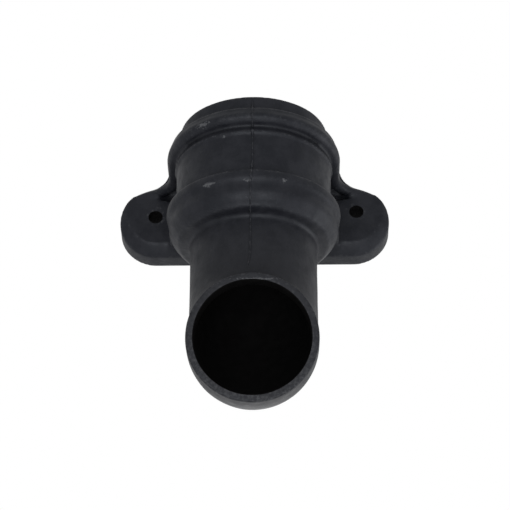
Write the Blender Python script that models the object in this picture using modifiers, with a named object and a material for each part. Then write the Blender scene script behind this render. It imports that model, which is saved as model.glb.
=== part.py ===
"""Eared cast-iron downpipe shoe: a socket collar with two beads, a short pipe, a bend and a plain-lipped outlet.

It is one casting. The frame is the installed one: +Z up, the wall on the +Y side, and the water leaves
towards -Y. The origin is on the flat back of the ears, midway between them, at the height of their centres.
"""

import math

import bmesh
import bpy

# Pipe, bend and outlet
PIPE_RADIUS = 0.0410
PIPE_WALL = 0.0047
BEND_RADIUS = 0.0580
BEND_CORNER_BELOW_COLLAR = 0.0847
OUTLET_REACH = 0.0549
OUTLET_FALL_DEGREES = 12.25
LIP_ROUNDING = 0.0012

# Socket collar. A drop is measured down from the rim.
RIM_ABOVE_EARS = 0.0419
SOCKET_CLEARANCE = 0.0035
RIM_WALL = 0.0036
BARREL_WALL = 0.0062
BEAD_PROJECTION = 0.0058
BAND_PROJECTION = 0.0040
BAND_DROP = 0.0130
BAND_HEIGHT = 0.0027
ROLL_RADIUS = 0.0047
COLLAR_HEIGHT = 0.0824
SOCKET_FLOOR = 0.0044
LOWER_BEAD_HEIGHT = 0.0210
LOWER_BAND_HEIGHT = 0.0062
LOWER_VALLEY_DEPTH = 0.0016

# Ears and the flat back that joins them
EAR_THICKNESS = 0.0200
EAR_RADIUS = 0.0244
EAR_OUTSET = 0.0081
EAR_EDGE_ROUNDING = 0.0070
EAR_BACK_EDGE = 0.0006
BACK_SIDE_MARGIN = 0.0015
BACK_TOP_DROP = 0.0050
BACK_STANDS_PROUD = 0.0004
CORNER_FILLET = 0.0120
FLARE_RADIUS = 0.0155
SCREW_HOLE_RADIUS = 0.0048
LEFT_HOLE_RISE = 0.0022
LEFT_HOLE_SHIFT = 0.0004
RIGHT_HOLE_RISE = 0.0054
RIGHT_HOLE_SHIFT = 0.0024
POCKET_HALF_WIDTH = 0.0130
POCKET_DEPTH = 0.0060
POCKET_HEIGHT = 0.0045

# The mould's seam, a low ridge down the middle of the front
SEAM_RADIUS = 0.0008
SEAM_SINK = 0.0004

# Small edges, and how finely round shapes are divided
SMALL_EDGE = 0.0011
SMALL_COVE = 0.0015
GROOVE_DEPTH = 0.0009
TURNED_STEPS = 56
SWEPT_SIDES = 48
OVERRUN = 0.0200

# Sizes that follow from the ones above
BORE_RADIUS = PIPE_RADIUS - PIPE_WALL
SOCKET_BORE_RADIUS = PIPE_RADIUS + SOCKET_CLEARANCE
SOCKET_DEPTH = COLLAR_HEIGHT - SOCKET_FLOOR
RIM_RADIUS = SOCKET_BORE_RADIUS + RIM_WALL
BARREL_RADIUS = SOCKET_BORE_RADIUS + BARREL_WALL
BEAD_RADIUS = BARREL_RADIUS + BEAD_PROJECTION
BAND_RADIUS = BARREL_RADIUS + BAND_PROJECTION
ROLL_DROP = BAND_DROP + BAND_HEIGHT + ROLL_RADIUS
LOWER_BEAD_DROP = COLLAR_HEIGHT - LOWER_BEAD_HEIGHT
BEND_CORNER_DROP = COLLAR_HEIGHT + BEND_CORNER_BELOW_COLLAR
BACK_HALF_WIDTH = BEAD_RADIUS + BACK_SIDE_MARGIN
EAR_PITCH = 2 * (BACK_HALF_WIDTH + EAR_OUTSET)
AXIS_Y = -(BEAD_RADIUS + BACK_STANDS_PROUD)
EAR_FACE_Y = -EAR_THICKNESS


def level(drop):
    """Height of a line of the collar, from its drop below the rim."""
    return RIM_ABOVE_EARS - drop


def clear_scene():
    for old in list(bpy.data.objects):
        bpy.data.objects.remove(old, do_unlink=True)


def new_collection(name):
    collection = bpy.data.collections.new(name)
    bpy.context.scene.collection.children.link(collection)
    return collection


def black_primed_iron():
    material = bpy.data.materials.new("black_primed_iron")
    material.use_nodes = True
    shader = material.node_tree.nodes["Principled BSDF"]
    shader.inputs["Base Color"].default_value = (0.028, 0.028, 0.032, 1.0)
    shader.inputs["Roughness"].default_value = 0.55
    shader.inputs["Metallic"].default_value = 0.0
    material.diffuse_color = (0.028, 0.028, 0.032, 1.0)
    return material


def add_mesh_object(name, mesh, collection):
    mesh.shade_smooth()
    mesh.set_sharp_from_angle(angle=math.radians(35))
    obj = bpy.data.objects.new(name, mesh)
    collection.objects.link(obj)
    return obj


def quarter(radius_at, drop_at, size, start, end, steps=3):
    """Points of a quarter round about a centre. 0 degrees points outwards and 90 degrees points down."""
    points = []
    for i in range(steps + 1):
        angle = math.radians(start + (end - start) * i / steps)
        points.append((radius_at + size * math.cos(angle), drop_at + size * math.sin(angle)))
    return points


def turned(name, profile, collection):
    """A solid turned about the pipe's axis, from (radius, drop) points that run down its outer side."""
    mesh = bpy.data.meshes.new(name)
    points = [(radius, 0.0, level(drop)) for radius, drop in profile]
    mesh.from_pydata(points, [(i, i + 1) for i in range(len(points) - 1)], [])
    obj = add_mesh_object(name, mesh, collection)
    obj.location = (0.0, AXIS_Y, 0.0)
    screw = obj.modifiers.new("Turn", "SCREW")
    screw.axis = "Z"
    screw.angle = math.radians(360)
    screw.steps = TURNED_STEPS
    screw.render_steps = TURNED_STEPS
    screw.use_merge_vertices = True
    screw.merge_threshold = 0.00001
    return obj


def mesh_from_curve(name, curve, collection, location=(0.0, 0.0, 0.0), rotation=(0.0, 0.0, 0.0)):
    """A curve made a closed mesh, so that it can be joined and cut."""
    source = bpy.data.objects.new(name + "_curve", curve)
    source.location = location
    source.rotation_euler = rotation
    bpy.context.scene.collection.objects.link(source)
    bpy.context.view_layer.update()
    graph = bpy.context.evaluated_depsgraph_get()
    mesh = bpy.data.meshes.new_from_object(source.evaluated_get(graph))
    work = bmesh.new()
    work.from_mesh(mesh)
    bmesh.ops.remove_doubles(work, verts=work.verts, dist=0.000001)
    bmesh.ops.recalc_face_normals(work, faces=work.faces)
    work.to_mesh(mesh)
    work.free()
    obj = add_mesh_object(name, mesh, collection)
    obj.matrix_world = source.matrix_world
    bpy.data.objects.remove(source, do_unlink=True)
    return obj


def swept(name, points, radius, sides, collection, widths=None):
    """A round bar along a path, with a width factor for each point."""
    curve = bpy.data.curves.new(name, "CURVE")
    curve.dimensions = "3D"
    curve.bevel_depth = radius
    curve.bevel_resolution = sides // 2 - 2
    curve.use_fill_caps = True
    spline = curve.splines.new("POLY")
    spline.points.add(len(points) - 1)
    for i, point in enumerate(points):
        spline.points[i].co = (*point, 1.0)
        spline.points[i].radius = widths[i] if widths else 1.0
    return mesh_from_curve(name, curve, collection)


def as_cutter(obj):
    obj.hide_render = True
    obj.display_type = "WIRE"
    return obj


def combine(target, other, operation):
    modifier = target.modifiers.new(other.name, "BOOLEAN")
    modifier.operation = operation
    modifier.solver = "EXACT"
    modifier.object = other
    as_cutter(other)


def collar_profile():
    """Outer side of the collar, from the middle of the rim down to the middle of its underside."""
    band_top = BAND_DROP
    groove = ROLL_DROP + ROLL_RADIUS
    lower = LOWER_BEAD_DROP
    arris = lower + LOWER_BAND_HEIGHT
    bottom = COLLAR_HEIGHT
    valley_radius = BEAD_RADIUS - LOWER_VALLEY_DEPTH
    points = [(0.0, 0.0)]
    points += quarter(RIM_RADIUS - SMALL_EDGE, SMALL_EDGE, SMALL_EDGE, -90, 0)
    points += quarter(RIM_RADIUS + SMALL_COVE, band_top - SMALL_COVE, SMALL_COVE, 180, 90)
    points += quarter(BAND_RADIUS - SMALL_EDGE, band_top + SMALL_EDGE, SMALL_EDGE, -90, 0)
    points += [(BAND_RADIUS - SMALL_COVE, ROLL_DROP - ROLL_RADIUS + SMALL_EDGE)]
    points += [(BARREL_RADIUS - GROOVE_DEPTH, groove + GROOVE_DEPTH)]
    points += [(BARREL_RADIUS + GROOVE_DEPTH / 2, groove + 3 * GROOVE_DEPTH)]
    points += [(BARREL_RADIUS + GROOVE_DEPTH / 2, groove + 4 * GROOVE_DEPTH)]
    points += [(BARREL_RADIUS, groove + 7 * GROOVE_DEPTH)]
    points += quarter(BARREL_RADIUS + SMALL_COVE, lower - SMALL_COVE, SMALL_COVE, 180, 90)
    points += quarter(BEAD_RADIUS - SMALL_EDGE, lower + SMALL_EDGE, SMALL_EDGE, -90, 0)
    points += [(BEAD_RADIUS, arris - SMALL_EDGE)]
    points += [(BEAD_RADIUS - SMALL_EDGE / 3, arris)]
    points += [(valley_radius, arris + 0.25 * (bottom - arris))]
    points += ovolo(valley_radius, arris + 0.32 * (bottom - arris), PIPE_RADIUS + PIPE_WALL * 1.4, bottom)
    return points + collar_foot()


def ovolo(top_radius, top_drop, end_radius, end_drop, steps=5):
    """A convex moulding that turns in under the bead."""
    points = []
    for i in range(steps + 1):
        angle = math.radians(90 * i / steps)
        reach = 0.35 * math.cos(angle) + 0.65 * (1 - i / steps)
        fall = 0.35 * math.sin(angle) + 0.65 * i / steps
        points.append(
            (end_radius + (top_radius - end_radius) * reach, top_drop + (end_drop - top_drop) * fall)
        )
    return points


def collar_foot():
    """The quirk under the lower bead and the fillet that meets the pipe."""
    start = PIPE_RADIUS + PIPE_WALL
    return [
        (start, COLLAR_HEIGHT + SMALL_EDGE / 2),
        (start - SMALL_EDGE, COLLAR_HEIGHT + SMALL_COVE),
        (PIPE_RADIUS + SMALL_COVE, COLLAR_HEIGHT + 1.4 * SMALL_COVE),
        (PIPE_RADIUS + SMALL_COVE / 4, COLLAR_HEIGHT + 2.3 * SMALL_COVE),
        (PIPE_RADIUS - SMALL_COVE, COLLAR_HEIGHT + 3.6 * SMALL_COVE),
        (0.0, COLLAR_HEIGHT + 3.6 * SMALL_COVE),
    ]


def pipe_path(top_drop, past_lip):
    """Centre line from inside the socket, down the pipe, round the bend and out through the lip."""
    fall = math.radians(OUTLET_FALL_DEGREES)
    turn = math.pi / 2 - fall
    tangent = BEND_RADIUS * math.tan(turn / 2)
    corner = level(BEND_CORNER_DROP)
    points = [(0.0, AXIS_Y, level(top_drop))]
    steps = 12
    for i in range(steps + 1):
        angle = turn * i / steps
        forward = BEND_RADIUS * (1 - math.cos(angle))
        down = BEND_RADIUS * math.sin(angle)
        points.append((0.0, AXIS_Y - forward, corner + tangent - down))
    ends = [OUTLET_REACH - LIP_ROUNDING, OUTLET_REACH - LIP_ROUNDING / 3, OUTLET_REACH]
    if past_lip:
        ends = [OUTLET_REACH + past_lip]
    for end in ends:
        points.append((0.0, AXIS_Y - end * math.cos(fall), corner - end * math.sin(fall)))
    return points


def make_seam(collection):
    """The ridge that the mould's two halves left, from under the rim to the start of the bend."""
    outer = [point for point in collar_profile() if point[0] > PIPE_RADIUS and point[1] > SMALL_EDGE]
    tangent = BEND_RADIUS * math.tan(math.radians(90 - OUTLET_FALL_DEGREES) / 2)
    outer += [(PIPE_RADIUS, COLLAR_HEIGHT + 5 * SMALL_COVE), (PIPE_RADIUS, BEND_CORNER_DROP - tangent)]
    path = [(0.0, AXIS_Y - radius + SEAM_SINK, level(drop)) for radius, drop in outer]
    return swept("mould_seam", path, SEAM_RADIUS, 8, collection)


def make_collar(collection):
    return turned("downpipe_shoe", collar_profile(), collection)


def make_pipe_and_bend(collection):
    path = pipe_path(SOCKET_DEPTH + PIPE_WALL / 2, 0.0)
    inset = LIP_ROUNDING / PIPE_RADIUS
    widths = [1.0] * (len(path) - 2) + [1.0 - 0.3 * inset, 1.0 - inset]
    return swept("pipe_and_bend", path, PIPE_RADIUS, SWEPT_SIDES, collection, widths)


def make_roll(collection):
    """The top bead's roll: round the front, straight back along both sides and out over the ears."""
    centre = BEAD_RADIUS - ROLL_RADIUS
    bend = FLARE_RADIUS + ROLL_RADIUS
    flare_y = EAR_FACE_Y - FLARE_RADIUS - ROLL_RADIUS + SMALL_EDGE
    side = []
    steps = 8
    for i in range(steps + 1):
        angle = math.radians(90 + 90 * i / steps)
        taper = 1 - 0.62 * (1 - i / steps) ** 1.5
        drop = -0.2 * ROLL_RADIUS * (1 - i / steps)
        place = (centre + bend + bend * math.cos(angle), flare_y + bend * math.sin(angle), drop)
        side.append((place, taper))
    front = []
    half_steps = TURNED_STEPS // 2
    for i in range(half_steps + 1):
        angle = -math.pi * i / half_steps
        front.append(((centre * math.cos(angle), AXIS_Y + centre * math.sin(angle), 0.0), 1.0))
    left = [((-x, y, z), taper) for (x, y, z), taper in reversed(side)]
    whole = side + front + left
    path = [(x, y, z + level(ROLL_DROP)) for (x, y, z), taper in whole]
    return swept("top_roll", path, ROLL_RADIUS, 14, collection, [taper for place, taper in whole])


def ear_outline():
    """Outline of the right ear and its half of the back, from the bottom edge up to the top corner."""
    reach = EAR_PITCH / 2
    top = level(BACK_TOP_DROP)
    fillet = CORNER_FILLET
    centre_x = BACK_HALF_WIDTH + fillet
    centre_z = math.sqrt((EAR_RADIUS + fillet) ** 2 - (reach - centre_x) ** 2)
    meet = math.atan2(centre_z, centre_x - reach)
    points = []
    steps = 16
    for i in range(steps + 1):
        angle = -math.pi / 2 + (meet + math.pi / 2) * i / steps
        points.append((reach + EAR_RADIUS * math.cos(angle), EAR_RADIUS * math.sin(angle)))
    for i in range(1, 5):
        angle = meet + math.pi + (math.pi - meet - math.pi) * i / 4
        points.append((centre_x + fillet * math.cos(angle), centre_z + fillet * math.sin(angle)))
    return points + [(BACK_HALF_WIDTH, top)]


def weigh_ear_edges(ears):
    """The front edge is rounded more and more towards the bottom. All other edges are nearly sharp."""
    work = bmesh.new()
    work.from_mesh(ears.data)
    layer = work.edges.layers.float.new("bevel_weight_edge")
    for edge in work.edges:
        if edge.calc_face_angle(0.0) < math.radians(60):
            continue
        start, end = (ears.matrix_world @ corner.co for corner in edge.verts)
        height = (start.z + end.z) / 2
        share = min(max(0.5 - height / EAR_RADIUS / 1.4, 0.0), 1.0)
        in_front = (start.y + end.y) / 2 < EAR_FACE_Y / 2
        extra = (EAR_EDGE_ROUNDING - EAR_BACK_EDGE) * share * share * (3 - 2 * share) * in_front
        edge[layer] = (EAR_BACK_EDGE + extra) / EAR_EDGE_ROUNDING
    work.to_mesh(ears.data)
    work.free()


def make_ears(collection):
    half = ear_outline()
    outline = half + [(-x, z) for x, z in reversed(half)]
    curve = bpy.data.curves.new("ears_and_back", "CURVE")
    curve.dimensions = "2D"
    curve.fill_mode = "BOTH"
    curve.extrude = EAR_THICKNESS / 2
    spline = curve.splines.new("POLY")
    spline.points.add(len(outline) - 1)
    for point, (x, z) in zip(spline.points, outline):
        point.co = (x, z, 0.0, 1.0)
    spline.use_cyclic_u = True
    middle = (0.0, -EAR_THICKNESS / 2, 0.0)
    ears = mesh_from_curve("ears_and_back", curve, collection, middle, (math.radians(90), 0.0, 0.0))
    weigh_ear_edges(ears)
    bevel = ears.modifiers.new("Rounded edges", "BEVEL")
    bevel.width = EAR_EDGE_ROUNDING
    bevel.segments = 4
    bevel.limit_method = "WEIGHT"
    return ears


def box_between(name, low, high, collection):
    mesh = bpy.data.meshes.new(name)
    work = bmesh.new()
    bmesh.ops.create_cube(work, size=1.0)
    size = [b - a for a, b in zip(low, high)]
    bmesh.ops.scale(work, vec=size, verts=work.verts)
    work.to_mesh(mesh)
    work.free()
    obj = add_mesh_object(name, mesh, collection)
    obj.location = [(a + b) / 2 for a, b in zip(low, high)]
    return obj


def make_lower_cheeks(collection):
    """The lower band runs straight back along both sides and into the ears."""
    half = BEAD_RADIUS - SMALL_EDGE / 2
    low = (-half, AXIS_Y, level(LOWER_BEAD_DROP + LOWER_BAND_HEIGHT) + SMALL_EDGE / 4)
    high = (half, EAR_FACE_Y + OVERRUN / 4, level(LOWER_BEAD_DROP) - SMALL_EDGE / 3)
    cheeks = box_between("lower_cheeks", low, high, collection)
    bevel = cheeks.modifiers.new("Rounded edges", "BEVEL")
    bevel.width = SMALL_EDGE
    bevel.segments = 2
    return cheeks


def round_cutter(name, radii, height, location, rotation, collection, sides=40):
    mesh = bpy.data.meshes.new(name)
    work = bmesh.new()
    bmesh.ops.create_cone(work, cap_ends=True, segments=sides, radius1=1.0, radius2=1.0, depth=height)
    bmesh.ops.scale(work, vec=(*radii, 1.0), verts=work.verts)
    work.to_mesh(mesh)
    work.free()
    obj = add_mesh_object(name, mesh, collection)
    obj.location = location
    obj.rotation_euler = rotation
    return obj


def make_pocket(side, collection):
    """The hollow between the roll and the ear's face, which fades out along the ear."""
    name = "right_pocket" if side > 0 else "left_pocket"
    reach = BEAD_RADIUS - SMALL_EDGE / 2
    middle = level(ROLL_DROP + ROLL_RADIUS) + SMALL_EDGE / 3
    radii = (POCKET_HALF_WIDTH, POCKET_DEPTH)
    return round_cutter(
        name, radii, POCKET_HEIGHT, (side * reach, EAR_FACE_Y, middle), (0.0, 0.0, 0.0), collection
    )


def make_screw_hole(side, collection):
    rise = RIGHT_HOLE_RISE if side > 0 else LEFT_HOLE_RISE
    shift = RIGHT_HOLE_SHIFT if side > 0 else LEFT_HOLE_SHIFT
    name = "right_screw_hole" if side > 0 else "left_screw_hole"
    place = (side * (EAR_PITCH / 2 + shift), EAR_FACE_Y / 2, rise)
    radii = (SCREW_HOLE_RADIUS, SCREW_HOLE_RADIUS)
    turn = (math.radians(90), 0.0, 0.0)
    return round_cutter(name, radii, EAR_THICKNESS + OVERRUN, place, turn, collection, 24)


def make_socket_bore(collection):
    height = SOCKET_DEPTH + OVERRUN
    place = (0.0, AXIS_Y, level(SOCKET_DEPTH) + height / 2)
    radii = (SOCKET_BORE_RADIUS, SOCKET_BORE_RADIUS)
    return round_cutter("socket_bore", radii, height, place, (0.0, 0.0, 0.0), collection, TURNED_STEPS)


def make_pipe_bore(collection):
    path = pipe_path(SOCKET_DEPTH - PIPE_WALL, OVERRUN)
    return swept("pipe_bore", path, BORE_RADIUS, SWEPT_SIDES, collection)


def build():
    clear_scene()
    parts = new_collection("downpipe_shoe_parts")
    cutters = new_collection("shapes_joined_and_cut")
    shoe = make_collar(parts)
    shoe.data.materials.append(black_primed_iron())
    combine(shoe, make_pipe_and_bend(cutters), "UNION")
    combine(shoe, make_ears(cutters), "UNION")
    combine(shoe, make_lower_cheeks(cutters), "UNION")
    for side in (-1, 1):
        combine(shoe, make_pocket(side, cutters), "DIFFERENCE")
    combine(shoe, make_roll(cutters), "UNION")
    combine(shoe, make_seam(cutters), "UNION")
    for side in (-1, 1):
        combine(shoe, make_screw_hole(side, cutters), "DIFFERENCE")
    combine(shoe, make_socket_bore(cutters), "DIFFERENCE")
    combine(shoe, make_pipe_bore(cutters), "DIFFERENCE")


build()
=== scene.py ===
import math

import bmesh
import bpy
import numpy as np
from mathutils import Matrix, Vector, noise
from mathutils.bvhtree import BVHTree


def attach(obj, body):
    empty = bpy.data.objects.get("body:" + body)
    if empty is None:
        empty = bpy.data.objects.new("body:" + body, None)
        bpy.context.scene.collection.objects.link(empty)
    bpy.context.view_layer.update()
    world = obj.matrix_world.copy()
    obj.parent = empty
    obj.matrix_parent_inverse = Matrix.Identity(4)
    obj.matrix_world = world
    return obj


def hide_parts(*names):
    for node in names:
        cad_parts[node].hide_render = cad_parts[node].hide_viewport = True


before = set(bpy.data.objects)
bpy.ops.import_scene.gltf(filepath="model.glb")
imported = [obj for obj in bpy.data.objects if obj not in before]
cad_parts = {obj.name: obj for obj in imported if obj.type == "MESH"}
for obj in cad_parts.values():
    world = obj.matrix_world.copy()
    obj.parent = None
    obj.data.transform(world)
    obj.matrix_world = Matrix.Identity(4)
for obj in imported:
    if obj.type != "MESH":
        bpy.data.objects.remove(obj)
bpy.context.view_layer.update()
scene = bpy.context.scene
scene.view_settings.view_transform = "Standard"

# The collar: a cast-iron socket with two moulded beads, which holds the end of the pipe above.
# Its pattern was turned on a lathe, so it is spun here about the pipe's axis, from a line of
# radii and drops below the rim, both in mm.
axis_y = -0.0569
rim_z = 0.0419
upright = Vector((0, 0, 1))


def round_off(radius, drop, size, start, end, steps=4):
    """A stretch of arc about a centre. 0 degrees points outwards and 90 degrees points down."""
    turns = [math.radians(start + (end - start) * i / steps) for i in range(steps + 1)]
    return [(radius + size * math.cos(a), drop + size * math.sin(a)) for a in turns]


def link_mesh(name, work):
    """A new object from a bmesh, with its normals outwards."""
    bmesh.ops.recalc_face_normals(work, faces=work.faces)
    mesh = bpy.data.meshes.new(name)
    work.to_mesh(mesh)
    work.free()
    obj = bpy.data.objects.new(name, mesh)
    scene.collection.objects.link(obj)
    return obj


def turned(name, line, steps, longest=0.004):
    """A solid spun about the pipe's axis. Edges over the longest length are cut in seven."""
    work = bmesh.new()
    points = [work.verts.new((r / 1000, axis_y, rim_z - h / 1000)) for r, h in line]
    edges = [work.edges.new(pair) for pair in zip(points, points[1:])]
    bmesh.ops.subdivide_edges(work, edges=[e for e in edges if e.calc_length() > longest], cuts=6)
    bmesh.ops.spin(
        work, geom=work.verts[:] + work.edges[:], cent=(0, axis_y, 0), axis=upright,
        angle=math.tau, steps=steps, use_merge=True,
    )
    bmesh.ops.remove_doubles(work, verts=work.verts, dist=0.00001)
    return link_mesh(name, work)


rim_band = [(0, 0)] + round_off(48.3, 0.4, 0.4, -90, 0) + round_off(50.0, 11.4, 1.3, 180, 90)
upper_bead = round_off(54.4, 13.4, 0.7, -90, 0)
upper_bead += [(55.4, 15.0), (56.0, 16.5), (56.7, 18.0), (57.0, 19.4), (56.7, 20.7), (56.0, 21.7)]
upper_bead += [(54.9, 22.6), (53.4, 23.3), (51.8, 23.7), (50.5, 23.9)]
groove = [(50.4, 24.3)] + round_off(51.3, 28.8, 0.8, -45, 40) + [(50.7, 30.7)]
lower_bead = round_off(52.2, 59.2, 1.5, 180, 100) + round_off(55.9, 61.5, 0.9, -90, 0)
lower_bead += [(56.9, 64.4), (56.8, 65.8), (56.3, 66.9), (55.6, 68.1), (55.2, 69.3), (54.9, 71.0)]
ovolo = [(54.9, 73.0), (54.8, 75.0), (54.2, 76.7), (53.3, 78.3), (52.2, 79.8), (50.9, 81.2)]
ovolo += [(49.6, 82.2), (49.4, 83.3), (47.6, 84.1)]
foot = [(45.0, 84.4), (43.6, 84.6)] + round_off(44.0, 87.5, 3.0, -100, -180) + [(38, 90), (0, 90)]
collar_line = rim_band + upper_bead + groove + lower_bead + ovolo + foot
collar = turned("collar_solid", collar_line, 160)

# The pipe and its bend: 82 mm outside, cast with the collar, falling 12.25 degrees below the
# level at the outlet. The bend is an arc of 58 mm, and the lip is cut square to the outlet.
pipe_radius = 0.0410
bend_radius = 0.0580
fall = math.radians(12.25)
turn = math.pi / 2 - fall
corner_z = rim_z - 0.1671
tangent = bend_radius * math.tan(turn / 2)
outlet_reach = 0.0549
pipe_top = rim_z - 0.0804
lip_worn = 0.0002
along_wall = Vector((1, 0, 0))


def centre_line(top):
    """Points down the pipe, round the bend and out to the lip."""
    line = [Vector((0, axis_y, z)) for z in np.linspace(top, corner_z + tangent, 10)[:-1]]
    for angle in np.linspace(0, turn, 48):
        forward = bend_radius * (1 - math.cos(angle))
        height = corner_z + tangent - bend_radius * math.sin(angle)
        line.append(Vector((0, axis_y - forward, height)))
    for along in np.linspace(tangent, outlet_reach, 14)[1:]:
        line.append(Vector((0, axis_y - along * math.cos(fall), corner_z - along * math.sin(fall))))
    return line


def tube_along(name, line, radii, sides, level_with):
    """A round bar through the line's points, closed at both ends: rings bridged one to the next.

    level_with is a way that the line never takes, and it keeps the rings from twisting.
    """
    work = bmesh.new()
    last = len(line) - 1
    before = set()
    for i, (centre, radius) in enumerate(zip(line, radii)):
        ahead = (line[min(i + 1, last)] - line[max(i - 1, 0)]).normalized()
        across = ahead.cross(level_with).normalized()
        up = across.cross(ahead)
        stand = Matrix((-up, across, -ahead)).transposed().to_4x4()
        stand.translation = centre
        ring = bmesh.ops.create_circle(
            work, cap_ends=i in (0, last), segments=sides, radius=float(radius), matrix=stand,
        )
        edges = {edge for vert in ring["verts"] for edge in vert.link_edges}
        if before:
            bmesh.ops.bridge_loops(work, edges=list(before | edges))
        before = edges
    return link_mesh(name, work)


pipe_line = centre_line(pipe_top)
pipe_radii = [pipe_radius] * (len(pipe_line) - 1) + [pipe_radius - lip_worn]
pipe = tube_along("pipe_solid", pipe_line, pipe_radii, 144, along_wall)

# The ears and the flat back between them: 20 mm thick, cast in one with the collar. One screw
# through each ear holds the shoe to the wall. Their front edge is rounded more and more towards
# the bottom, where the pattern was eased.
ear_out = 0.0657
ear_radius = 0.0248
thick = 0.0200
back_half_width = 0.0580
back_top = rim_z - 0.0050
fillet = 0.0145
front_round = 0.0070
least_round = 0.0006
ease_height = 1.4 * ear_radius
hollow_out = 0.0560
hollow_drop = 0.0232
hollow_size = (0.0100, 0.0030, 0.0040)


def carve(target, other, operation="DIFFERENCE"):
    """Cut another solid out of the target, or join it on."""
    step = target.modifiers.new(other.name, "BOOLEAN")
    step.operation = operation
    step.solver = "MANIFOLD"
    step.object = other


def arc(x, z, radius, start, end, count):
    """Points of an arc in the ears' outline."""
    return [(x + radius * math.cos(a), z + radius * math.sin(a)) for a in np.linspace(start, end, count)]


fillet_x = back_half_width + fillet
fillet_z = math.sqrt((ear_radius + fillet) ** 2 - (ear_out - fillet_x) ** 2)
meeting = math.atan2(fillet_z, fillet_x - ear_out)
ending = math.asin((fillet_z - back_top) / fillet)
half = arc(ear_out, 0, ear_radius, -math.pi / 2, meeting, 48)
half += arc(fillet_x, fillet_z, fillet, meeting + math.pi, math.pi + ending, 12)[1:]
outline = half + [(-x, z) for x, z in reversed(half)]
work = bmesh.new()
face = work.faces.new([work.verts.new((x, -thick, z)) for x, z in outline])
grown = bmesh.ops.extrude_face_region(work, geom=[face])
rear = [item for item in grown["geom"] if isinstance(item, bmesh.types.BMVert)]
bmesh.ops.translate(work, verts=rear, vec=(0, thick, 0))
bmesh.ops.recalc_face_normals(work, faces=work.faces)

# The edges round the front and the rear are rounded, and those through the thickness are not.
# The rounding grows down the front and stays least round the rear.
layer = work.edges.layers.float.new("bevel_weight_edge")
for edge in work.edges:
    start, end = (corner.co for corner in edge.verts)
    if abs(start.y - end.y) > thick / 2:
        continue
    share = min(max(0.5 - (start.z + end.z) / 2 / ease_height, 0.0), 1.0)
    if start.y > -thick / 2:
        share = 0.0
    extra = (front_round - least_round) * share * share * (3 - 2 * share)
    edge[layer] = (least_round + extra) / front_round
ears = link_mesh("ears_solid", work)
eased = ears.modifiers.new("Rounded edges", "BEVEL")
eased.width = front_round
eased.segments = 4
eased.profile = 0.28
eased.limit_method = "WEIGHT"
hollows = []
for side in (-1, 1):
    work = bmesh.new()
    bmesh.ops.create_uvsphere(work, u_segments=48, v_segments=24, radius=1)
    bmesh.ops.scale(work, vec=hollow_size, verts=work.verts)
    bmesh.ops.translate(work, vec=(side * hollow_out, -thick, rim_z - hollow_drop), verts=work.verts)
    hollow = link_mesh("hollow", work)
    carve(ears, hollow)
    hollows.append(hollow)

# The upper bead's roll, cast with the collar: round the front, straight back along the sides
# and out onto the ears, where it thins and dies away in each ear's face. In front it is
# slimmer, because the collar's own line makes the bead there.
roll = 0.0047
roll_drop = 0.0201
bead_half_width = 0.0572
middle = bead_half_width - roll
sweep = 0.0155 + roll
sunk_in_ear = 0.0011
flare_y = -thick - sweep + sunk_in_ear
tail_out = 0.0060
tail_in = 0.0012
tail_share = 0.30
tail_sink = 0.3
flare_sink = 0.2
flare_thinning = 0.62
front_share = 0.75

right = [Vector((middle + sweep + tail_out, flare_y + sweep + tail_in, -tail_sink * roll))]
widths = [tail_share * roll]
for share in np.linspace(0, 1, 18):
    angle = math.pi / 2 * (1 + share)
    x = middle + sweep + sweep * math.cos(angle)
    y = flare_y + sweep * math.sin(angle)
    right.append(Vector((x, y, -flare_sink * roll * (1 - share))))
    widths.append(roll * (1 - flare_thinning * (1 - share) ** 1.5))
right += [Vector((middle, y, 0)) for y in np.linspace(flare_y, axis_y, 10)[1:-1]]
widths += [roll] * (len(right) - len(widths))
front_angles = np.linspace(0, -math.pi, 90)
front = [Vector((middle * math.cos(a), axis_y + middle * math.sin(a), 0)) for a in front_angles]
front_widths = [roll * (front_share + (1 - front_share) * math.cos(a) ** 4) for a in front_angles]
left = [Vector((-p.x, p.y, p.z)) for p in reversed(right)]
bead_line = [p + Vector((0, 0, rim_z - roll_drop)) for p in right + front + left]
bead = tube_along("roll_solid", bead_line, widths + front_widths + widths[::-1], 28, upright)

# The lower bead's band, cast with the rest, runs straight back along both sides and 4 mm into
# the ears. Its lower edge rises towards the wall.
band_width = 0.1125
band_height = 0.0058
band_z = rim_z - 0.0641
band_rear = -thick + 0.0040
band_rise = 0.0045
band_round = 0.0010
work = bmesh.new()
bmesh.ops.create_cube(work, size=1)
bmesh.ops.scale(work, vec=(band_width, band_rear - axis_y, band_height), verts=work.verts)
bmesh.ops.translate(work, vec=(0, (axis_y + band_rear) / 2, band_z), verts=work.verts)
low_rear = [v for v in work.verts if v.co.y > (axis_y + band_rear) / 2 and v.co.z < band_z]
bmesh.ops.translate(work, vec=(0, 0, band_rise), verts=low_rear)
bmesh.ops.bevel(
    work, geom=work.edges[:], offset=band_round, segments=3, profile=0.5, affect="EDGES", material=-1,
)
cheeks = link_mesh("cheeks_solid", work)

# The casting's skin: all of these are one piece of iron, so they are made one mesh. It is
# softened where the ears and the band meet the collar, and left uneven, as sand leaves iron.
voxel = 0.0010
full_softening = 0.00066
no_softening = 0.00286
search_reach = 0.006
none_near = 9.0
passes = 26
passes_all_over = 2
weight_all_over = 0.35
uneven = 0.00011
uneven_scale = 70
uneven_sink = 0.35
flat_back_depth = 0.010

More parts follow.
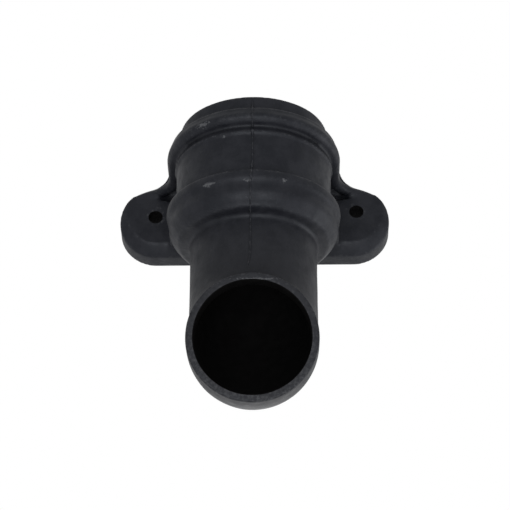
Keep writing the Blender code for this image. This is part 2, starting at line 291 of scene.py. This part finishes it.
solids = [collar, pipe, ears, bead, cheeks]
graph = bpy.context.evaluated_depsgraph_get()
merged = bmesh.new()
trees = []
for group in ((collar, pipe, bead), (ears,), (cheeks,)):
    one = bmesh.new()
    for solid in group:
        shape = solid.evaluated_get(graph).to_mesh()
        merged.from_mesh(shape)
        one.from_mesh(shape)
    trees.append(BVHTree.FromBMesh(one))
    one.free()
blank = link_mesh("casting_blank", merged)
skin = blank.modifiers.new("One skin", "REMESH")
skin.mode = "VOXEL"
skin.voxel_size = voxel
bpy.context.view_layer.update()
graph = bpy.context.evaluated_depsgraph_get()
soft_mesh = bpy.data.meshes.new_from_object(blank.evaluated_get(graph))

# A corner is where two of the groups are near, so the second nearest says how near it is.
count = len(soft_mesh.vertices)
flat = np.empty(count * 3, np.float32)
soft_mesh.vertices.foreach_get("co", flat)
spots = flat.reshape(-1, 3).astype(float)
second_nearest = np.full(count, none_near)
for i, spot in enumerate(spots):
    distances = sorted((tree.find_nearest(spot, search_reach)[3] or none_near) for tree in trees)
    second_nearest[i] = distances[1]
soft = (no_softening - second_nearest) / (no_softening - full_softening)
soft = np.clip(soft, 0.0, 1.0)[:, None]

# Each pass moves a point by half of its weight towards the middle of its neighbours.
ends = np.empty(len(soft_mesh.edges) * 2, np.int32)
soft_mesh.edges.foreach_get("vertices", ends)
ends = ends.reshape(-1, 2)
neighbours = np.bincount(ends.ravel(), minlength=count)[:, None]
for step in range(passes):
    total = np.zeros_like(spots)
    np.add.at(total, ends[:, 0], spots[ends[:, 1]])
    np.add.at(total, ends[:, 1], spots[ends[:, 0]])
    weight = np.maximum(soft, weight_all_over if step < passes_all_over else 0.0)
    spots += 0.5 * weight * (total / neighbours - spots)
soft_mesh.vertices.foreach_set("co", spots.astype(np.float32).ravel())
soft_mesh.update()

# The unevenness dies away towards the back, which stays flat.
normals = np.empty(count * 3, np.float32)
soft_mesh.vertices.foreach_get("normal", normals)
normals = normals.reshape(-1, 3)
for i, spot in enumerate(spots):
    clear_of_back = min(max(-spot[1] / flat_back_depth, 0.0), 1.0)
    swell = noise.noise(Vector(spot) * uneven_scale) - uneven_sink
    spots[i] += normals[i] * uneven * clear_of_back * swell
soft_mesh.vertices.foreach_set("co", spots.astype(np.float32).ravel())
soft_mesh.update()
casting = bpy.data.objects.new("casting", soft_mesh)
scene.collection.objects.link(casting)

# The mould's seam: a low ridge where the two halves of the sand met, not fettled away.
# It starts under the rim, leans to the left as it passes the lower bead and ends in a small
# hook. Iron ran out between the halves in four places and left a burr at each.
seam_radius = 0.00044
seam_drops = np.arange(0.0022, 0.1232, 0.0006)
seam_sink = 0.15
lean = 0.0015
lean_from = 0.048
lean_over = 0.030
hook = 0.0021
hook_from = 0.108
hook_over = 0.015
waver = 0.0002
waver_scale = 260
swell_share = 0.45
swell_scale = 420
burr_drops = (0.0098, 0.0290, 0.0541, 0.0653)
burr_reach = 0.0013
burr_share = 1.8
in_front = -0.3
to_wall = Vector((0, 1, 0))

skin_spots = [v.co.copy() for v in soft_mesh.vertices]
skin_faces = [tuple(p.vertices) for p in soft_mesh.polygons]
skin_tree = BVHTree.FromPolygons(skin_spots, skin_faces)
seam_line = []
seam_radii = []
for drop in seam_drops:
    x = -lean * min(max((drop - lean_from) / lean_over, 0), 1)
    x -= hook * max((drop - hook_from) / hook_over, 0) ** 2
    x += waver * noise.noise(Vector((0, 0, drop * waver_scale)))
    hit = skin_tree.ray_cast(Vector((x, in_front, rim_z - drop)), to_wall)[0]
    swell = swell_share * noise.noise(Vector((5, 0, drop * swell_scale)))
    burr = sum(math.exp(-(((drop - at) / burr_reach) ** 2)) for at in burr_drops)
    radius = seam_radius * (1 + swell + burr_share * burr)
    seam_line.append(hit + to_wall * (seam_sink * radius))
    seam_radii.append(radius)
seam = tube_along("seam_solid", seam_line, seam_radii, 10, along_wall)

# The bores: the socket, the pipe and the two screw holes, which were drilled out of line.
# The cores and the drill left sharp walls, so they are cut after the skin is softened.
bore_radius = 0.0363
bore_top = rim_z - 0.0733
mouth_steps = (-0.0008, -0.0002, 0.0004, 0.0200)
mouth_radii = [bore_radius, 0.0365, 0.0371, 0.0372]
screw_radius = 0.0047
screw_mouth = 0.0050
screw_round = 0.0004
screw_places = ((-0.0665, 0.0022), (0.0685, 0.0054))
faces_kept = 0.76
sharp = math.radians(40)
on_wall = 0.0001

socket_line = [(0, -20), (45.6, -20), (45.6, -1.0), (44.9, -0.2), (44.5, 1.0), (44.5, 72.0)]
socket_line += [(44.1, 74.6), (42.6, 76.6), (39.0, 78.0), (0, 78.0)]
cutters = [turned("socket_bore", socket_line, 144)]
bore_line = centre_line(bore_top)
lip = bore_line.pop()
outwards = Vector((0, -math.cos(fall), -math.sin(fall)))
bore_radii = [bore_radius] * len(bore_line) + mouth_radii
bore_line += [lip + outwards * step for step in mouth_steps]
cutters.append(tube_along("pipe_bore", bore_line, bore_radii, 128, along_wall))
drill_depths = (0.01, -thick + screw_round, -thick - screw_round, -0.03)
drill_radii = (screw_radius, screw_radius, screw_mouth, screw_mouth)
for x, z in screw_places:
    drilled = [Vector((x, y, z)) for y in drill_depths]
    cutters.append(tube_along("screw_hole", drilled, drill_radii, 40, along_wall))

carve(casting, seam, "UNION")
for cutter in cutters:
    carve(casting, cutter)
thinned = casting.modifiers.new("Fewer faces", "DECIMATE")
thinned.ratio = faces_kept
bpy.context.view_layer.update()
graph = bpy.context.evaluated_depsgraph_get()
cast_mesh = bpy.data.meshes.new_from_object(casting.evaluated_get(graph))
casting.modifiers.clear()
casting.data = cast_mesh
cast_mesh.shade_smooth()
cast_mesh.set_sharp_from_angle(angle=sharp)
cast_mesh.materials.clear()

# The faces that lie on a cutter take the second material, the bores' dark painted shade.
bore_walls = []
for cutter in cutters:
    one = bmesh.new()
    one.from_mesh(cutter.data)
    bore_walls.append(BVHTree.FromBMesh(one))
    one.free()
for polygon in cast_mesh.polygons:
    nearest = [wall.find_nearest(polygon.center, on_wall)[0] for wall in bore_walls]
    polygon.material_index = 1 if any(found is not None for found in nearest) else 0
for spare in solids + hollows + cutters + [blank, seam]:
    bpy.data.objects.remove(spare, do_unlink=True)
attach(casting, "root")
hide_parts("downpipe_shoe")

# The cloudy look that all cast faces share, in two colours. The paint and the bores' painted
# shade use it, each with its own colours and scale.
mottle = bpy.data.node_groups.new("cast_mottle", "ShaderNodeTree")
mottle.interface.new_socket("Scale", in_out="INPUT", socket_type="NodeSocketFloat")
mottle.interface.new_socket("First", in_out="INPUT", socket_type="NodeSocketColor")
mottle.interface.new_socket("Second", in_out="INPUT", socket_type="NodeSocketColor")
mottle.interface.new_socket("Color", in_out="OUTPUT", socket_type="NodeSocketColor")


def spread(tree, source, low, high, start=0.0, end=1.0):
    """Carry a value from start..end to low..high, held at both ends."""
    scale = tree.nodes.new("ShaderNodeMapRange")
    scale.inputs["From Min"].default_value = start
    scale.inputs["From Max"].default_value = end
    scale.inputs["To Min"].default_value = low
    scale.inputs["To Max"].default_value = high
    tree.links.new(source, scale.inputs["Value"])
    return scale.outputs["Result"]


def tinted(tree, amount, first, second):
    """A colour that turns from the first to the second as the amount goes to 1."""
    blend = tree.nodes.new("ShaderNodeMix")
    blend.data_type = "RGBA"
    tree.links.new(amount, blend.inputs["Factor"])
    for slot, value in ((blend.inputs["A"], first), (blend.inputs["B"], second)):
        if isinstance(value, tuple):
            slot.default_value = (*value, 1)
        else:
            tree.links.new(value, slot)
    return blend.outputs["Result"]


taken = mottle.nodes.new("NodeGroupInput")
given = mottle.nodes.new("NodeGroupOutput")
within = mottle.nodes.new("ShaderNodeTexCoord")
clouds = mottle.nodes.new("ShaderNodeTexNoise")
clouds.inputs["Detail"].default_value = 5
clouds.inputs["Roughness"].default_value = 0.62
mottle.links.new(within.outputs["Object"], clouds.inputs["Vector"])
mottle.links.new(taken.outputs["Scale"], clouds.inputs["Scale"])
cloudy = spread(mottle, clouds.outputs["Fac"], 0, 1, 0.39, 0.61)
mixed = tinted(mottle, cloudy, taken.outputs["First"], taken.outputs["Second"])
mottle.links.new(mixed, given.inputs["Color"])


def mottled(tree, scale, first, second):
    """The shared cloudy look, placed in a material with its own scale and colours."""
    placed = tree.nodes.new("ShaderNodeGroup")
    placed.node_tree = mottle
    placed.inputs["Scale"].default_value = scale
    placed.inputs["First"].default_value = (*first, 1)
    placed.inputs["Second"].default_value = (*second, 1)
    return placed.outputs["Color"]


# The paint: matt black primer over the cast skin. It is cloudy and specked, greyer towards the
# outlet, chipped to grey iron in a few places, scuffed on its edges, with painted shade in its corners.
primer_dark = (0.0100, 0.0110, 0.0160)
primer_pale = (0.0215, 0.0225, 0.0290)
primer_sheen = (0.88, 0.92, 1.0)
primer_clouds = 90
greyed = (0.0270, 0.0265, 0.0285)
grey_share = 0.45
grey_from = -0.040
grey_below = -0.075
speck_colour = (0.044, 0.046, 0.052)
speck_scale = 900
speck_share = 0.35
chip_colour = (0.150, 0.154, 0.164)
chip_share = 0.85
lip_colour = (0.085, 0.086, 0.090)
lip_share = 0.75
lip_scale = 480
lip_face = 0.0003
lip_behind = 0.0012
scuffed_from = -0.112
scuffed_below = -0.158
edge_colour = (0.110, 0.113, 0.122)
edge_share = 0.55
edge_scale = 420
# The painted shade darkening the corners.
corner_shade_colour = (0.0070, 0.0075, 0.0100)
shine_scale = 120
coarse_scale = 230
grit_scale = 2300
grain_depth = 0.0004

# The chips' centres, and how far each reaches along X, Y and Z.
chips = [
    ((-0.0317, -0.1025, 0.0214), (0.0046, 0.0040, 0.0013)),
    ((-0.0183, -0.1045, 0.0115), (0.0011, 0.0020, 0.0007)),
    ((-0.0276, -0.1051, -0.0253), (0.0042, 0.0030, 0.0011)),
    ((-0.0030, -0.1135, -0.0265), (0.0024, 0.0030, 0.0008)),
    ((0.0200, -0.1087, -0.0250), (0.0014, 0.0025, 0.0011)),
    ((-0.0215, -0.1060, -0.0435), (0.0036, 0.0030, 0.0007)),
    ((-0.0061, -0.1132, -0.0375), (0.0040, 0.0030, 0.0014)),
    ((0.0130, -0.1120, -0.0375), (0.0017, 0.0030, 0.0010)),
    ((0.0040, -0.1183, -0.1011), (0.0130, 0.0012, 0.0006)),
]

paint = bpy.data.materials.new("black_primed_iron")
paint.use_nodes = True
primer = paint.node_tree
shader = primer.nodes["Principled BSDF"]
shader.inputs["Specular Tint"].default_value = (*primer_sheen, 1)
place = primer.nodes.new("ShaderNodeTexCoord").outputs["Object"]


def noise_of(scale, detail, roughness=0.5):
    """A noise over the casting, from 0 to 1."""
    pattern = primer.nodes.new("ShaderNodeTexNoise")
    pattern.inputs["Scale"].default_value = scale
    pattern.inputs["Detail"].default_value = detail
    pattern.inputs["Roughness"].default_value = roughness
    primer.links.new(place, pattern.inputs["Vector"])
    return pattern.outputs["Fac"]


def worked(tree, operation, first, second):
    """Two values put together; each is a socket or a number."""
    step = tree.nodes.new("ShaderNodeMath")
    step.operation = operation
    for slot, value in zip(step.inputs, (first, second)):
        if isinstance(value, (int, float)):
            slot.default_value = value
        else:
            tree.links.new(value, slot)
    return step.outputs["Value"]


def measured(operation, vector, other=None):
    """A vector worked on alone, or with another that is the same all over."""
    step = primer.nodes.new("ShaderNodeVectorMath")
    step.operation = operation
    primer.links.new(vector, step.inputs[0])
    if other is not None:
        step.inputs[1].default_value = other
    return step.outputs["Value" if operation in ("LENGTH", "DOT_PRODUCT") else "Vector"]


speck = noise_of(speck_scale, 3, 0.6)
grit = noise_of(grit_scale, 2)
apart = primer.nodes.new("ShaderNodeSeparateXYZ")
primer.links.new(place, apart.inputs["Vector"])
height = apart.outputs["Z"]
colour = mottled(primer, primer_clouds, primer_dark, primer_pale)
grey = spread(primer, height, grey_share, 0, grey_below, grey_from)
colour = tinted(primer, grey, colour, greyed)
colour = tinted(primer, spread(primer, speck, 0, speck_share, 0.60, 0.72), colour, speck_colour)

# A chip fades out at its reach, and the specks move that edge in and out, so it is ragged.
ragged = spread(primer, speck, -0.9, 0.9, 0.3, 0.7)
chipped = None
for centre, reach in chips:
    distance = measured("LENGTH", measured("DIVIDE", measured("SUBTRACT", place, centre), reach))
    patch = spread(primer, worked(primer, "ADD", distance, ragged), 1, 0, 0.5, 1.1)
    chipped = patch if chipped is None else worked(primer, "MAXIMUM", chipped, patch)
colour = tinted(primer, worked(primer, "MULTIPLY", chipped, chip_share), colour, chip_colour)

# The lip's cut face is scuffed in places, most of all at the bottom.
lip_reach = lip.dot(outwards)
out = measured("DOT_PRODUCT", place, outwards)
scuffs = spread(primer, out, 0, 1, lip_reach - lip_behind, lip_reach - lip_face)
rubbed = spread(primer, noise_of(lip_scale, 4, 0.7), 0.0, lip_share, 0.46, 0.66)
scuffs = worked(primer, "MULTIPLY", scuffs, rubbed)
low_down = spread(primer, height, 1.0, 0.12, scuffed_below, scuffed_from)
scuffs = worked(primer, "MULTIPLY", scuffs, low_down)
colour = tinted(primer, scuffs, colour, lip_colour)

# Pointiness is over a half on outer edges, which are worn in places, and under it in corners, which get
# painted shade.
pointed = primer.nodes.new("ShaderNodeNewGeometry").outputs["Pointiness"]
patches = spread(primer, noise_of(edge_scale, 4, 0.7), 0, edge_share, 0.50, 0.68)
worn = worked(primer, "MULTIPLY", spread(primer, pointed, 0, 1, 0.506, 0.535), patches)
colour = tinted(primer, worn, colour, edge_colour)
# Painted shade: concave corners are darkened, standing in for the shadow that gathers there.
corners = spread(primer, pointed, 1, 0, 0.44, 0.488)
colour = tinted(primer, corners, colour, corner_shade_colour)
primer.links.new(colour, shader.inputs["Base Color"])

# The primer shines a little more in some places than in others, and is dull in its corners.
dull = spread(primer, noise_of(shine_scale, 4), 0.42, 0.58, 0.3, 0.7)
dull = worked(primer, "MAXIMUM", dull, spread(primer, corners, 0, 0.95))
primer.links.new(dull, shader.inputs["Roughness"])

# The sand left a coarse, a middling and a fine grain, which show through the primer.
coarse = worked(primer, "MULTIPLY", noise_of(coarse_scale, 3), 1.1)
middling = worked(primer, "MULTIPLY", speck, 0.7)
fine = worked(primer, "MULTIPLY", grit, 0.25)
grain = worked(primer, "ADD", worked(primer, "ADD", middling, fine), coarse)
bump = primer.nodes.new("ShaderNodeBump")
bump.inputs["Strength"].default_value = 0.45
bump.inputs["Distance"].default_value = grain_depth
primer.links.new(grain, bump.inputs["Height"])
primer.links.new(bump.outputs["Normal"], shader.inputs["Normal"])

# The bores' walls: dark and dull. Their dark colour is painted shade for the deep insides of the
# bores and screw holes, where little light reaches; they show only the shared clouds, darker and finer.
bore_dark = (0.0030, 0.0028, 0.0030)
bore_pale = (0.0060, 0.0056, 0.0058)
bore_clouds = 160
bore_shade = bpy.data.materials.new("bore_painted_shade")
bore_shade.use_nodes = True
iron = bore_shade.node_tree
iron_shader = iron.nodes["Principled BSDF"]
iron_shader.inputs["Specular IOR Level"].default_value = 0.15
iron_shader.inputs["Roughness"].default_value = 0.8
bore_shade_colour = mottled(iron, bore_clouds, bore_dark, bore_pale)
iron.links.new(bore_shade_colour, iron_shader.inputs["Base Color"])
for finish in (paint, bore_shade):
    casting.data.materials.append(finish)

# The room: the camera sees plain white all round. The casting sees a dim, even room, a little
# brighter overhead, brighter behind, and brightest straight behind, where the outlet's
# underside mirrors it.
world = bpy.data.worlds.new("white_room")
scene.world = world
world.use_nodes = True
room = world.node_tree
glow = room.nodes["Background"]
glow.inputs["Color"].default_value = (1, 1, 1, 1)
way = room.nodes.new("ShaderNodeTexCoord")
parts = room.nodes.new("ShaderNodeSeparateXYZ")
room.links.new(way.outputs["Generated"], parts.inputs["Vector"])
level = spread(room, parts.outputs["Z"], 0.33, 0.32, -0.3, 0.5)
above = spread(room, parts.outputs["Z"], 0.0, 0.12, 0.6, 1.0)
behind = spread(room, parts.outputs["Y"], 0.0, 0.26, 0.0, 0.8)
straight_behind = spread(room, parts.outputs["Y"], 0.0, 0.90, 0.93, 1.0)
brightness = worked(room, "ADD", level, above)
brightness = worked(room, "ADD", brightness, worked(room, "ADD", behind, straight_behind))
seen = room.nodes.new("ShaderNodeLightPath")
choose = room.nodes.new("ShaderNodeMix")
room.links.new(seen.outputs["Is Camera Ray"], choose.inputs["Factor"])
room.links.new(brightness, choose.inputs["A"])
choose.inputs["B"].default_value = 1.0
room.links.new(choose.outputs["Result"], glow.inputs["Strength"])

# The floor: a wide pale sheet far below the shoe, which throws soft light up at it. The camera
# sees it as plain white, like the rest of the room.
floor_z = -2.0
floor_half_width = 4.0
work = bmesh.new()
bmesh.ops.create_grid(work, x_segments=1, y_segments=1, size=floor_half_width)
bmesh.ops.translate(work, verts=work.verts, vec=(0, 0, floor_z))
floor = link_mesh("floor", work)
white = bpy.data.materials.new("white_sweep")
white.use_nodes = True
sheet = white.node_tree
shine = sheet.nodes.new("ShaderNodeEmission")
looked_at = sheet.nodes.new("ShaderNodeLightPath")
mix = sheet.nodes.new("ShaderNodeMixShader")
sheet.links.new(looked_at.outputs["Is Camera Ray"], mix.inputs["Fac"])
sheet.links.new(sheet.nodes["Principled BSDF"].outputs["BSDF"], mix.inputs[1])
sheet.links.new(shine.outputs["Emission"], mix.inputs[2])
sheet.links.new(mix.outputs["Shader"], sheet.nodes["Material Output"].inputs["Surface"])
floor.data.materials.append(white)

# The lamps: a wide soft one stands in front and below and lights the bend. A weaker one stands
# low on the right, a little behind, and lights the shoe's right side.
lit = Vector((0, -0.05, -0.05))
for name, spot, size, power in (
    ("front", (-0.05, -1.9, -1.25), 1.5, 14.0),
    ("right", (1.5, 0.3, -0.6), 1.0, 4.5),
):
    lamp = bpy.data.lights.new(name, "AREA")
    lamp.size = size
    lamp.energy = power
    holder = bpy.data.objects.new(name, lamp)
    holder.location = spot
    holder.rotation_euler = (lit - Vector(spot)).to_track_quat("-Z", "Y").to_euler()
    scene.collection.objects.link(holder)

# The camera: a long lens in front of the outlet and below it, turned very slightly to the left
# and looking up 30 degrees.
tilt = math.radians(29.965)
yaw = math.radians(-0.825)
aim = Vector((0.000882, axis_y, -0.04897))
stand_off = 1.461
ahead = Vector((math.sin(yaw) * math.cos(tilt), math.cos(yaw) * math.cos(tilt), math.sin(tilt)))
lens = bpy.data.cameras.new("camera")
lens.sensor_width = 36
lens.lens = 159.5
camera = bpy.data.objects.new("camera", lens)
camera.location = aim - ahead * stand_off
camera.rotation_euler = ahead.to_track_quat("-Z", "Y").to_euler()
scene.collection.objects.link(camera)
scene.camera = camera
